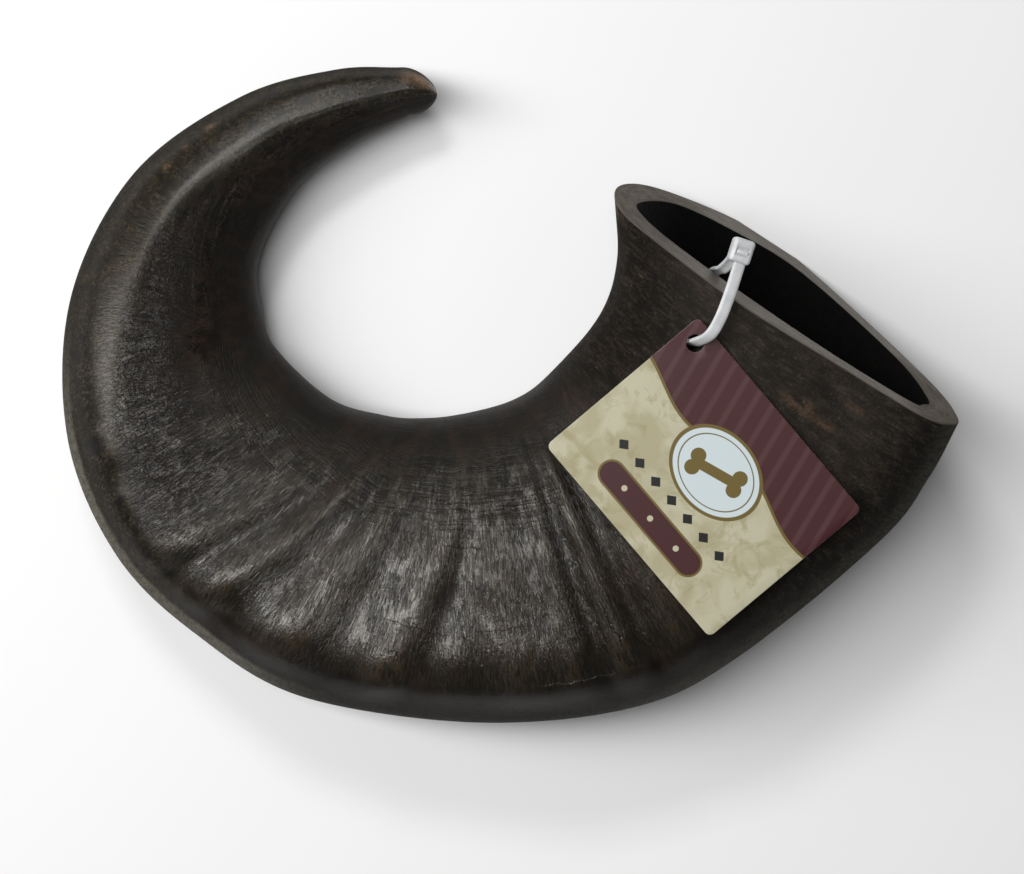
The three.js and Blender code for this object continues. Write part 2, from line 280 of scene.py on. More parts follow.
def make_object(name, points, faces, material, uv=None, around=None, values=None):
    """A smooth mesh from points in millimetres, with a UV map and values for its points.

    Where a face spans the seam of a closed ring, around is the distance that its low corners are moved by.
    """
    mesh = bpy.data.meshes.new(name)
    mesh.from_pydata((np.asarray(points) * MM).tolist(), [], faces)
    mesh.materials.append(material)
    if uv is not None:
        corners = np.zeros(len(mesh.loops), int)
        mesh.loops.foreach_get("vertex_index", corners)
        placed = uv[corners]
        if around is not None:
            sizes = np.zeros(len(mesh.polygons), int)
            mesh.polygons.foreach_get("loop_total", sizes)
            starts = np.concatenate([[0], np.cumsum(sizes)[:-1]])
            highest = np.repeat(np.maximum.reduceat(placed[:, 1], starts), sizes)
            spans = highest - placed[:, 1] > around[corners] / 2
            placed[:, 1] += spans * around[corners]
        layer = mesh.uv_layers.new(name="UVMap")
        layer.data.foreach_set("uv", placed.astype(np.float32).ravel())
    for key, numbers in (values or {}).items():
        attribute = mesh.attributes.new(key, "FLOAT", "POINT")
        attribute.data.foreach_set("value", numbers.astype(np.float32).ravel())
    mesh.shade_smooth()
    piece = bpy.data.objects.new(name, mesh)
    bpy.context.scene.collection.objects.link(piece)
    return piece


def apply_modifier(piece, kind, **settings):
    modifier = piece.modifiers.new(kind.title(), kind)
    for key, value in settings.items():
        setattr(modifier, key, value)
    bpy.context.view_layer.objects.active = piece
    bpy.ops.object.modifier_apply(modifier=modifier.name)


def own_to_row():
    """How far the shapes' own plan lies from the row's frame, read from the card, whose middle is known."""
    low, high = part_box("hang_tag")
    return np.array((low + high) / 2) / MM - TAG_MIDDLE


SHIFT = own_to_row()


# The horn

PLACES = np.concatenate([i + np.arange(n) / n for i, n in enumerate(COLUMNS)])
PLACES = np.roll(PLACES, -np.searchsorted(PLACES, FIRST_COLUMN))
TOP = int(np.argmin(np.abs(PLACES - TOP_COLUMN)))


def horn_points(stations, shares):
    """Points of the horn from stations (rings) and shares of width and thickness (rings x columns x 2)."""
    values = open_spline(STATIONS, stations)[:, None, :]
    inner, outer = values[..., 0:2], values[..., 2:4]
    thickness, lift = values[..., 4], values[..., 5]
    plan = inner + (outer - inner) * shares[..., 0:1]
    height = np.maximum(0, lift + thickness * shares[..., 1])
    along = (outer - inner) / np.linalg.norm(outer - inner, axis=-1, keepdims=True)
    along = np.stack([-along[..., 1], along[..., 0]], axis=-1)
    lean = math.tan(MOUTH_TILT) * smooth(stations, MOUTH_TILT_START, MOUTH)[:, None]
    plan = plan + along * (lean * (MOUTH_PIVOT_HEIGHT - height))[..., None]
    return np.concatenate([plan, height[..., None]], axis=-1)


def section_shares(stations):
    upper = np.clip(np.searchsorted(SECTION_STATIONS, stations), 1, len(SECTION_STATIONS) - 1)
    blend = smooth(stations, SECTION_STATIONS[upper - 1], SECTION_STATIONS[upper])[:, None, None]
    return closed_spline(SECTIONS[upper - 1] * (1 - blend) + SECTIONS[upper] * blend, PLACES)


def face_share(across):
    """1 on the folded face, and 0 at its inner and outer borders."""
    return smooth(across, 0.03, 0.3) * (1 - smooth(across, 0.85, 0.985))


def inside_crease(station, across):
    return smooth(np.interp(station, CREASE[:, 0], CREASE[:, 1]) - across, -0.01, 0.15)


def fold_height(station, across):
    total = 0
    for outer, outer_across, inner, inner_across, rise, half in FOLDS:
        share = (across - inner_across) / (outer_across - inner_across)
        total = total + rise * bump(station, inner + (outer - inner) * share, half)
    return total * face_share(across)


def length_along(stations):
    """Distance along the middle of the horn, in millimetres."""
    fine = np.linspace(0, MOUTH, 600)
    values = open_spline(STATIONS, fine)
    return np.interp(stations, fine, distances((values[:, 0:2] + values[:, 2:4]) / 2))


def even_stations(count):
    """Stations spaced evenly along the horn's outer edge."""
    fine = np.linspace(0, RIM_EDGE_STATIONS[0], 1200)
    distance = distances(open_spline(STATIONS, fine)[:, 2:4])
    return np.interp(np.linspace(0, distance[-1], count), distance, fine)


def girth_places(points):
    """Distance round each ring from the top of the face, and each ring's total, drawn out at the tip."""
    steps = np.linalg.norm(points - np.roll(points, 1, axis=1), axis=-1)
    total = steps.sum(axis=1, keepdims=True)
    steps[:, 0] = 0
    girth = np.cumsum(steps, axis=1)
    stretch = (FULL_GIRTH / total) ** 0.4
    return (girth - girth[:, TOP:TOP + 1]) * stretch, total * stretch


def normals_of(points):
    along = np.gradient(points, axis=0)
    around = np.roll(points, -1, axis=1) - np.roll(points, 1, axis=1)
    normal = np.cross(around, along)
    return normal / np.maximum(np.linalg.norm(normal, axis=-1, keepdims=True), 1e-9)


def relief(station, across, up, length, girth):
    """How far wrinkles, creases and grain raise the outside, in millimetres."""
    top = smooth(up, 0.45, 0.75)
    face = face_share(across) * top
    folded = smooth(station, 4, 5.5) * (1 - smooth(station, 10.6, 11.6))
    drift = 3.5 * noise(length / 26, girth / 14, 1) + 1.4 * noise(length / 9, girth / 7, 2)
    wave = noise((length + drift) / 5.2, girth / 30, 3)
    ripple = noise((length + drift) / 2.6, girth / 13, 4)
    wrinkles = 0.3 * wave + 0.12 * (1 - 2 * np.abs(wave)) + 0.16 * ripple
    lumps = 0.3 * noise(length / 16, girth / 12, 5)
    tip_face = (1 - smooth(station, 3.4, 5.2)) * smooth(station, 0.2, 1)
    slanted = girth + 0.22 * length + 2 * noise(length / 18, girth / 9, 6)
    tip_wrinkles = 0.1 * noise(slanted / 3.1, length / 14, 7) + 0.3 * noise(slanted / 8, length / 18, 8)
    inside = inside_crease(station, across)
    dish_reach = smooth(station, 0.2, 1.6) * (1 - smooth(station, 5.2, 6.8))
    dished = -DISH_DEPTH * inside * smooth(across, 0, 0.36) * dish_reach
    grain = 0.06 * noise(length / 30, girth / 1.9, 9) * (1 - smooth(across, 0.1, 0.35))
    calm = 0.3 + 0.7 * (1 - smooth(station, 10.8, 12))
    shoulder = smooth(across, 0.6, 0.84) * (1 - smooth(across, 0.86, 0.995))
    shoulder = SHOULDER_HEIGHT * shoulder * smooth(station, 4.8, 6.4) * (1 - smooth(station, 9.6, 11))
    lower = 0.3 * noise(length / 30, girth / 16, 10) * (1 - top) * smooth(up, 0.04, 0.2)
    return (
        face * (folded * wrinkles + tip_face * inside * tip_wrinkles)
        + top * (lumps * calm + grain + dished + shoulder)
        + lower
    )


def under_card(points):
    """1 where the card lies over the horn, and 0 from 5 mm outside it."""
    local = (points - TAG_MIDDLE) @ TAG_TURN
    outside_x = np.abs(local[..., 0]) - TAG_LENGTH / 2
    outside_y = np.abs(local[..., 1]) - TAG_WIDTH / 2
    return 1 - smooth(np.maximum(outside_x, outside_y), 0, 5)


def rub_strength(station, across, up):
    total = 0
    for middle, share, half, half_share, strength in RUBS:
        total = total + strength * bump(station, middle, half) * bump(across, share, half_share)
    return np.clip(total, 0, 1) * smooth(up, 0.4, 0.6)


def outside(stations):
    """Points of the outside, their places along and round the horn, and values for the material."""
    shares = section_shares(stations)
    across, up = shares[..., 0], shares[..., 1]
    thickness = open_spline(STATIONS, stations)[:, 4:5]
    column = stations[:, None] + 0 * across
    folds = fold_height(column, across) * (up > 0.5)
    points = horn_points(stations, np.stack([across, up + folds / thickness], axis=-1))
    length = length_along(column)
    girth, around = girth_places(points)
    height = relief(column, across, up, length, girth) * (1 - smooth(column, 13.9, MOUTH))
    card = under_card(points) * smooth(up, 0.5, 0.7)
    height = height * (1 - card) + np.minimum(height - SUNK_UNDER_CARD, 0) * card
    points = points + normals_of(points) * height[..., None]
    points[..., 2] = np.maximum(points[..., 2], 0)
    values = {
        "station": column,
        "across": across,
        "top": smooth(up, 0.45, 0.75),
        "inside": inside_crease(column, across),
        "crest": folds,
        "rub": rub_strength(column, across, up),
    }
    return points, length, girth, around + 0 * across, values


def tip_rings(ring):
    """Rings of the rounded tip: the first ring of the outside drawn in, as on a dome."""
    middle = ring.mean(axis=0)
    centre = np.array([*TIP, middle[2]])
    shares = (np.arange(1, TIP_RINGS) / TIP_RINGS) ** 2
    sizes = (1 - (1 - shares) ** 1.8) ** 0.6
    places = centre + (middle - centre) * shares[:, None]
    return (ring - middle) * sizes[:, None, None] + places[:, None, :]


def hollow_rings(stations):
    depth = (MOUTH - stations) / (MOUTH - HOLLOW_END)
    size = ((1 - 0.3 * depth) * np.sqrt(1 - depth**4))[:, None, None]
    outline = closed_spline(HOLLOW[None], PLACES)
    return horn_points(stations, HOLLOW_MIDDLE + (outline - HOLLOW_MIDDLE) * size)


def mouth_rings():
    """The sawn rim from the outside to the hollow, with round edges, and the hollow to its end."""
    edge_stations = np.array([RIM_EDGE_STATIONS[1], MOUTH])
    edge = horn_points(edge_stations, section_shares(edge_stations))
    stations = MOUTH - (MOUTH - HOLLOW_END) * (np.arange(HOLLOW_RINGS) / HOLLOW_RINGS) ** 1.3
    hollow = hollow_rings(stations)
    rim = np.array([edge[1] + (hollow[0] - edge[1]) * share for share in RIM_SHARES])
    turned_in = hollow_rings(np.array(RIM_EDGE_STATIONS[::-1]))
    return np.concatenate([edge[:1], rim]), np.concatenate([turned_in, hollow[1:]])


def make_horn(outside_material, inside_material):
    skin, length, girth, around, values = outside(even_stations(OUTSIDE_RINGS))
    tip = tip_rings(skin[0])
    rim, hollow = mouth_rings()
    rings = np.concatenate([tip, skin, rim, hollow])
    count, columns = rings.shape[:2]
    tail = len(rim) + len(hollow)
    tip_end = [*TIP, skin[0][:, 2].mean()]
    hollow_end = horn_points(np.array([HOLLOW_END]), HOLLOW_MIDDLE[None, None])[0, 0]
    points = np.concatenate([rings.reshape(-1, 3), [tip_end, hollow_end]])
    faces = grid_faces(count, columns, wrap=False)
    first, last = len(points) - 2, len(points) - 1
    top = (count - 1) * columns
    for i in range(columns):
        faces.append([first, (i + 1) % columns, i])
        faces.append([top + i, top + (i + 1) % columns, last])

    ones = np.ones((1, columns))
    steps = (np.arange(1, TIP_RINGS) / TIP_RINGS - 1)[:, None]
    onwards = np.arange(1, tail + 1)[:, None]

    def extend(table, before, after):
        """A value for every point, from its values on the outside."""
        full = np.concatenate([before * ones, table, after * ones]).reshape(-1)
        return np.concatenate([full, [full[0], full[-1]]])

    lengths = extend(length, steps * TIP_LENGTH, length[-1, 0] + onwards * RIM_RING_LENGTH)
    girths = extend(girth, girth[:1] + 0 * steps, girth[-1:] + 0 * onwards)
    arounds = extend(around, around[:1] + 0 * steps, around[-1:] + 0 * onwards)
    station_steps = steps * TIP_STATIONS
    first_across, first_top = (values[key][:1] + 0 * steps for key in ("across", "top"))
    tip_rub = rub_strength(station_steps + 0 * ones, first_across, first_top)
    sawn = (onwards <= len(rim)) * 1.0
    tables = {
        "station": extend(values["station"], station_steps, MOUTH + 0 * onwards),
        "across": extend(values["across"], first_across, values["across"][-1:] + 0 * onwards),
        "top": extend(values["top"], first_top, values["top"][-1:] + 0 * onwards),
        "inside": extend(values["inside"], values["inside"][:1] + 0 * steps, 1 + 0 * onwards),
        "crest": extend(values["crest"], 0 * steps, 0 * onwards),
        "rub": extend(values["rub"], tip_rub, 0 * onwards),
        "sawn": extend(0 * length, 0 * steps, sawn),
    }
    uv = np.stack([lengths, girths], axis=-1) / 10
    horn = make_object("horn_visual", points + SHIFT, faces, outside_material, uv, arounds / 10, tables)
    horn.data.materials.append(inside_material)
    first_inside = (count - len(hollow)) * columns
    inside = np.array([min(face) >= first_inside for face in faces])
    horn.data.polygons.foreach_set("material_index", inside.astype(np.int32))
    return horn


def growth_place(station, across):
    """Where a station and share of the face's width lie in the horn's UV map, in centimetres."""
    shares = section_shares(np.array([station]))
    girth, _ = girth_places(horn_points(np.array([station]), shares))
    face = shares[0, :, 1] > 0.5
    round_horn = np.interp(across, shares[0, face, 0], girth[0, face])
    return length_along(np.array([station]))[0] / 10, round_horn / 10


# The tie's plane

def tie_plane():
    """The tie's frame in the row's: X towards the mouth, Y aside, Z up in the leaning plane."""
    origin = TAG_TURN @ np.array([*TAG_HOLE, 0]) + TAG_MIDDLE
    forward = np.array([math.cos(TIE_HEADING), math.sin(TIE_HEADING), 0])
    up = np.array([forward[1], -forward[0], 0]) * math.sin(TIE_LEAN)
    up[2] = math.cos(TIE_LEAN)
    return np.stack([forward, np.cross(up, forward), up], axis=1), origin


def from_tie_plane(points):
    axes, origin = tie_plane()
    return points @ axes.T + origin + SHIFT


def drill(horn, material):
    """Cuts the tie's hole through the horn's wall."""
    turn = np.arange(DRILL_SIDES) / DRILL_SIDES * 2 * math.pi
    circle = np.stack([np.cos(turn), np.sin(turn)], axis=-1) * DRILL_RADIUS
    ends = [np.column_stack([circle, np.full(DRILL_SIDES, height)]) for height in DRILL_REACH]
    faces = grid_faces(2, DRILL_SIDES, wrap=False)
    faces += [list(range(DRILL_SIDES))[::-1], list(range(DRILL_SIDES, 2 * DRILL_SIDES))]
    cutter = make_object("drill", from_tie_plane(np.concatenate(ends)), faces, material)
    apply_modifier(horn, "BOOLEAN", object=cutter, operation="DIFFERENCE", solver="MANIFOLD")
    bpy.data.objects.remove(cutter)


# The card

CARD_BEVEL = 0.1
CARD_CURL = 0.9
CARD_RINGS = 26


def card_outline(per_corner=9, per_side=30):
    """The card's round-cornered outline, anticlockwise, as points and outward directions."""
    half = np.array([TAG_LENGTH, TAG_WIDTH]) / 2 - TAG_CORNER_RADIUS
    signs = [(1, 1), (-1, 1), (-1, -1), (1, -1)]
    points = []
    outwards = []
    for quarter in range(4):
        middle, after = half * signs[quarter], half * signs[(quarter + 1) % 4]
        for angle in np.linspace(quarter, quarter + 1, per_corner) * math.pi / 2:
            direction = np.array([math.cos(angle), math.sin(angle)])
            points.append(middle + TAG_CORNER_RADIUS * direction)
            outwards.append(direction)
        for share in np.arange(1, per_side) / per_side:
            points.append(middle + (after - middle) * share + TAG_CORNER_RADIUS * direction)
            outwards.append(direction)
    return np.array(points), np.array(outwards)


def make_card(material):
    outline, outwards = card_outline()
    spokes = outline - TAG_HOLE
    spokes = spokes / np.linalg.norm(spokes, axis=1, keepdims=True)
    hole = TAG_HOLE + spokes * TAG_HOLE_RADIUS
    half = TAG_THICKNESS / 2
    start = hole + spokes * CARD_BEVEL
    end = outline - outwards * CARD_BEVEL
    flat = start + (end - start) * np.linspace(0, 1, CARD_RINGS)[:, None, None]

    def side(plan):
        heights = [half - CARD_BEVEL * 0.3, 0, CARD_BEVEL * 0.3 - half]
        return [np.column_stack([plan, np.full(len(plan), height)])[None] for height in heights]

    face = np.dstack([flat, np.full(flat.shape[:2], half)])
    back = np.dstack([flat[::-1], np.full(flat.shape[:2], -half)])
    rings = np.concatenate([face, *side(outline), back, *side(hole)[::-1]])
    printed = np.repeat([1.0, 0, -1, 0], [CARD_RINGS, 3, CARD_RINGS, 3])
    printed = printed[:, None] + np.zeros(rings.shape[:2])
    uv = rings[..., :2].reshape(-1, 2) / 10
    corner = (-rings[..., 0] - rings[..., 1]) / (TAG_LENGTH + TAG_WIDTH)
    rings[..., 2] -= CARD_CURL * smooth(corner, 0, 0.5) ** 2
    placed = rings.reshape(-1, 3) @ TAG_TURN.T + TAG_MIDDLE + SHIFT
    faces = [corners[::-1] for corners in grid_faces(len(rings), len(outline), wrap=True)]
    return make_object("card_visual", placed, faces, material, uv, values={"printed": printed})


# The tie

STRAP_RINGS = 300
STRAP_STEPS = STRAP_RINGS * 8
TOOTH_PITCH = 1.25
TOOTH_HEIGHT = 0.14
HEAD_ROUNDING = 1.0
SLOT_SIZE = (1.9, 3.9, 1.0)
SLOT_ROUNDING = 0.12
CUT_END_SIZE = (1.1, 3.2, 1.3)
CUT_END_ROUNDING = 0.15


def strap_section():
    """A rounded rectangle, aside and outwards, with a shallow toothed channel on its inner side."""
    width, thickness = STRAP_WIDTH / 2, STRAP_THICKNESS / 2
    half = np.array([
        [0, -thickness], [-width * 0.55, -thickness], [-width * 0.62, -thickness],
        [-width * 0.9, -thickness], [-width, -thickness * 0.7], [-width, 0],
        [-width, thickness * 0.6], [-width * 0.86, thickness * 0.95], [-width * 0.4, thickness],
    ])
    return np.concatenate([half, (half * [-1, 1])[:0:-1]])


def make_strap(material):
    fine = np.arange(STRAP_STEPS) / STRAP_STEPS * len(TIE_LOOP)
    line = closed_spline(TIE_LOOP[None], fine)[0]
    distance = distances(np.vstack([line, line[:1]]))
    along = np.arange(STRAP_RINGS) / STRAP_RINGS * distance[-1]
    line = closed_spline(TIE_LOOP[None], np.interp(along, distance[:-1], fine))[0]
    tangent = np.roll(line, -1, axis=0) - np.roll(line, 1, axis=0)
    outwards = np.stack([-tangent[:, 2], 0 * tangent[:, 0], tangent[:, 0]], axis=-1)
    outwards /= np.linalg.norm(outwards, axis=1, keepdims=True)
    section = strap_section()
    toothed = np.zeros(len(section))
    toothed[[0, 1, -1]] = TOOTH_HEIGHT
    out = section[:, 1] + toothed * (1 - along / TOOTH_PITCH % 1)[:, None]
    rings = line[:, None, :] + outwards[:, None, :] * out[..., None]
    rings[..., 1] += section[:, 0]
    faces = grid_faces(len(rings), len(section), wrap=True)
    return make_object("tie_visual", from_tie_plane(rings.reshape(-1, 3)), faces, material)


def rounded_block(size, radius, steps=5):
    """A block with round edges, as points and faces, its middle at the origin."""
    half = np.array(size) / 2 - radius
    ring = []
    for quarter, (sx, sy) in enumerate([(1, 1), (-1, 1), (-1, -1), (1, -1)]):
        for angle in np.linspace(quarter, quarter + 1, steps + 1) * math.pi / 2:
            ring.append([sx * half[0], sy * half[1], math.cos(angle), math.sin(angle)])
    ring = np.array(ring)
    angles = np.linspace(-math.pi / 2, 0, steps + 1)
    levels = [(-half[2], angle) for angle in angles] + [(half[2], -angle) for angle in angles[::-1]]
    rings = []
    for level, angle in levels:
        plan = ring[:, :2] + ring[:, 2:] * radius * math.cos(angle)
        rings.append(np.column_stack([plan, np.full(len(plan), level + radius * math.sin(angle))]))
    rings = np.array(rings)
    count = len(ring)
    faces = grid_faces(len(rings), count, wrap=False)
    faces.append(list(range(count - 1, -1, -1)))
    faces.append(list(range((len(rings) - 1) * count, len(rings) * count)))
    return rings.reshape(-1, 3), faces


def make_block(name, middle, size, radius, material):
    """A rounded block on the tie's head, turned as the head is."""
    points, faces = rounded_block(size, radius)
    cos, sin = math.cos(HEAD_TURN), math.sin(HEAD_TURN)
    turn = np.array([[cos, -sin, 0], [sin, cos, 0], [0, 0, 1]])
    placed = (points + middle) @ turn.T + HEAD_MIDDLE
    return make_object(name, from_tie_plane(placed), faces, material)


def make_head(material):
    """The head with a slot in its top, and the strap's cut end in the slot."""
    head = make_block("tie_head_visual", np.zeros(3), HEAD_SIZE, HEAD_ROUNDING, material)
    slot_place = np.array([-0.3, 0, HEAD_SIZE[2] / 2])
    slot = make_block("slot", slot_place, SLOT_SIZE, SLOT_ROUNDING, material)
    apply_modifier(head, "BOOLEAN", object=slot, operation="DIFFERENCE", solver="MANIFOLD")
    bpy.data.objects.remove(slot)
    end_place = slot_place - [0.1, 0, 0.45]
    end = make_block("tie_end_visual", end_place, CUT_END_SIZE, CUT_END_ROUNDING, material)
    return head, end


# Materials

class Number:
    """A number that varies over a surface. Arithmetic with it adds nodes to its material."""

    def __init__(self, graph, socket):
        self.graph = graph
        self.socket = socket

    def __add__(self, other):
        return self.graph.math("ADD", self, other)

    def __sub__(self, other):
        return self.graph.math("SUBTRACT", self, other)

    def __rsub__(self, other):
        return self.graph.math("SUBTRACT", other, self)

    def __mul__(self, other):
        return self.graph.math("MULTIPLY", self, other)

    def __truediv__(self, other):
        return self.graph.math("DIVIDE", self, other)

    __radd__ = __add__
    __rmul__ = __mul__

    def __abs__(self):
        return self.graph.math("ABSOLUTE", self)

    def least(self, other):
        return self.graph.math("MINIMUM", self, other)

    def most(self, other):
        return self.graph.math("MAXIMUM", self, other)

    def power(self, other):
        return self.graph.math("POWER", self, other)

    def fraction(self):
        return self.graph.math("FRACT", self)

    def ramp(self, low, high):
        """0 below low, 1 above high, and smooth between them."""
        inputs = {"Value": self, "From Min": low, "From Max": high}
        node = self.graph.add("ShaderNodeMapRange", inputs, interpolation_type="SMOOTHSTEP")
        return Number(self.graph, node)

    def between(self, low, rise, high, fall):
        """0 below low, 1 past low + rise up to high, and 0 past high + fall."""
        return self.ramp(low, low + rise) * (1 - self.ramp(high, high + fall))


class Graph:
    """A material and the nodes added to it."""

    def __init__(self, name):
        self.material = bpy.data.materials.new(name)
        self.material.use_nodes = True
        self.tree = self.material.node_tree
        self.shader = self.tree.nodes["Principled BSDF"]

    def connect(self, value, socket):
        value = value.socket if isinstance(value, Number) else value
        if isinstance(value, bpy.types.NodeSocket):
            self.tree.links.new(value, socket)
        else:
            socket.default_value = value

    def add(self, kind, inputs, output=0, **settings):
        node = self.tree.nodes.new(kind)
        for key, value in settings.items():
            setattr(node, key, value)
        for key, value in inputs.items():
            self.connect(value, node.inputs[key])
        return node.outputs[output]

    def math(self, operation, *values):
        return Number(self, self.add("ShaderNodeMath", dict(enumerate(values)), operation=operation))

    def attribute(self, name):
        return Number(self, self.add("ShaderNodeAttribute", {}, "Fac", attribute_name=name))

    def scaled(self, vector, scale):
        return self.add("ShaderNodeVectorMath", {0: vector, 1: scale}, operation="MULTIPLY")

    def parts(self, vector):
        node = self.tree.nodes.new("ShaderNodeSeparateXYZ")
        self.connect(vector, node.inputs[0])
        return Number(self, node.outputs[0]), Number(self, node.outputs[1])

    def joined(self, x, y):
        return self.add("ShaderNodeCombineXYZ", {0: x, 1: y})

    def noise(self, vector, scale, detail, roughness, distortion=0.0):
        inputs = {"Vector": vector, "Scale": scale, "Detail": detail, "Roughness": roughness}
        inputs["Distortion"] = distortion
        return Number(self, self.add("ShaderNodeTexNoise", inputs))

    def mix(self, share, low, high):
        node = self.tree.nodes.new("ShaderNodeMix")
        node.data_type = "RGBA"
        for value, socket in ((share, node.inputs[0]), (low, node.inputs[6]), (high, node.inputs[7])):
            self.connect((*value, 1) if isinstance(value, tuple) else value, socket)
        return node.outputs[2]

    def layered(self, base, layers):
        """Colours laid one over the other, each as far as its share says."""
        for share, colour in layers:
            base = self.mix(share, base, colour)
        return base

    def bump(self, millimetres):
        """A normal from a height in millimetres."""
        return self.add("ShaderNodeBump", {"Height": millimetres, "Distance": MM, "Strength": 1.0})

    def finish(self, **inputs):
        """The material, its shader's sockets set by name with _ for each space."""
        for key, value in inputs.items():
            value = (*value, 1) if isinstance(value, tuple) else value
            self.connect(value, self.shader.inputs[key.replace("_", " ")])
        return self.material


# The horn's looks

HORN_DARK = (0.0032, 0.0025, 0.0020)
HORN_BROWN = (0.021, 0.0105, 0.0070)
# Painted sheen: grey laid over the folded face, heaviest on the fold crests.
FOLD_SHEEN_GREY = (0.0345, 0.0248, 0.0142)
HORN_RED = (0.040, 0.018, 0.0115)
HORN_OLIVE = (0.0124, 0.0108, 0.0064)
HORN_OCHRE = (0.050, 0.037, 0.019)
HORN_DUSTY = (0.0185, 0.0150, 0.0116)
# Pale flank strip: partly dusty wear, partly painted light from the floor's bounce.
FLANK_DUST_AND_LIGHT = (0.115, 0.107, 0.084)
HORN_TAN = (0.23, 0.132, 0.074)
SCRATCHED = (0.095, 0.074, 0.060)
# Black for cracks and specks, and also painted shade along the outer edge.
CRACK_AND_SHADE_BLACK = (0.0015, 0.0012, 0.0010)
SAWN_GREY = (0.182, 0.157, 0.128)
# Near black for the hollow's inside, darker than the horn itself: painted shade in the hollow.
HOLLOW_SHADE_BLACK = (0.0008, 0.0007, 0.0006)


def ridges(noise, width):
    """1 along the thin winding lines where a noise crosses its middle."""
    return 1 - abs(noise - 0.5).ramp(0, width)


def crack_lines(x, y, wander):
    """1 along the cracks in the face. Here x and y are in centimetres."""
    lines = 0
    for station, across, heading, half_length, half_width in CRACKS:
        place = growth_place(station, across)
        cos, sin = math.cos(math.radians(heading)), math.sin(math.radians(heading))
        dx, dy = x - place[0], y - place[1]
        along = abs(dx * cos + dy * sin)
        aside = abs(dy * cos - dx * sin + wander * 0.22)
        taper = 1 - along / (half_length / 10)
        line = (1 - aside.ramp(half_width / 40, half_width / 10)) * taper.ramp(0, 0.5)
        lines = line + lines
    return lines.least(1)


def horn_zones(graph):
    """Where each kind of surface lies on the horn, from 0 to 1, and the mesh's own values."""
    names = ("station", "across", "top", "inside", "crest", "rub", "sawn")
    station, across, top, inside, crest, rub, sawn = (graph.attribute(name) for name in names)
    face = across.between(0.05, 0.25, 0.82, 0.12) * top * inside.ramp(0, 0.5)
    band = (1 - inside) * (1 - station.ramp(6, 7.6))
    # painted shade: a dark stripe on the outer band near the tip, where it turns away from the light
    shade_stripe = across.between(0.81, 0.04, 0.89, 0.05) * station.between(3.2, 1.2, 6, 1)
    inner_face = across.between(0.08, 0.08, 0.3, 0.14) * top
    return SimpleNamespace(
        across=across,
        crest=crest,
        rub=rub,
        sawn=sawn,
        folded=face * station.between(4.6, 1.2, 10.5, 1.0),
        bark=across.ramp(0.28, 0.48) * inside * top * station.between(2.4, 1.0, 5.4, 1.2),
        tip_face=inside * top * (1 - station.ramp(3.0, 4.6)),
        band=band,
        band_top=band * top,
        tip_band=band * top * (1 - station.ramp(2.2, 3.6)) * (1 - across.ramp(0.72, 0.86)),
        near_crease=band * top * (1 - across.ramp(0.8, 0.9)) * station.ramp(2.6, 4.0),
        shade_stripe=band * top * shade_stripe,
        inner=(1 - across.ramp(0.12, 0.36)) * station.ramp(3.0, 5.0),
        inner_face=inner_face * station.between(4.8, 1.2, 9.4, 1.2),
        roll_off=1 - across.ramp(0.06, 0.3),
        outer_edge=across.ramp(0.84, 0.98),
        near_flank=station.between(4.0, 1.4, 7.2, 1.1),
        far_flank=across.ramp(0.94, 0.99) * station.between(9.6, 1.0, 14, 1),
        mouth=station.ramp(10.6, 11.8) * (1 - sawn),
    )


def horn_grain(graph, zone):
    """The horn's noises, most of them drawn out along or round its growth, and the lines they make."""
    growth = graph.add("ShaderNodeUVMap", {}, uv_map="UVMap")
    place = graph.add("ShaderNodeTexCoord", {}, "Object")
    x, y = graph.parts(growth)

    def grown(along, around, detail, roughness, distortion=0.0):
        """Noise with so many bumps to the centimetre along the horn and round it."""
        return graph.noise(graph.scaled(growth, (along, around, 1)), 1, detail, roughness, distortion)

    mottle = grown(2.6, 1.5, 4, 0.65)
    wander = grown(3.2, 3.2, 2, 0.6) - 0.5
    slanted = graph.joined(x * 0.7 + y * 0.15, y * 3.6 + x * 0.9)
    long_splits = ridges(grown(7, 0.8, 3, 0.6, 0.3), 0.06) * mottle.ramp(0.36, 0.5)
    short_splits = ridges(grown(15, 2.4, 3, 0.65, 0.4), 0.07) * mottle.ramp(0.36, 0.6)
    crackled = (zone.bark + zone.tip_face * 0.7 + zone.outer_edge * 0.5).least(1)
    arcs = ridges(grown(0.2, 6, 2, 0.6, 0.15), 0.05)
    return SimpleNamespace(
        patches=grown(0.55, 0.5, 3, 0.6, 0.6),
        mottle=mottle,
        wander=wander,
        crinkle=grown(17, 2.3, 4, 0.6, 0.25),
        glint=grown(38, 15, 3, 0.65, 0.3),
        fibres=grown(0.9, 17, 4, 0.65, 0.15),
        streaks=grown(9, 2.2, 5, 0.7, 0.4),
        lines=grown(30, 3.4, 3, 0.6, 0.3).ramp(0.38, 0.56),
        specks=graph.noise(place, 1100, 3, 0.65),
        slants=graph.noise(slanted, 1, 5, 0.66, 0.6),
        flakes=(grown(3.6, 1.6, 3, 0.55, 0.8) * 9).fraction(),
        splits=(long_splits + short_splits * 0.6).least(1),
        crackle=ridges(grown(7, 6, 3, 0.6, 0.6), 0.035) * crackled,
        arcs=arcs * zone.inner_face * mottle.ramp(0.3, 0.55),
        scratches=ridges(grown(8, 0.5, 2, 0.5, 0.2), 0.012) * mottle.ramp(0.52, 0.64),
        cracks=crack_lines(x, y, wander),
    )


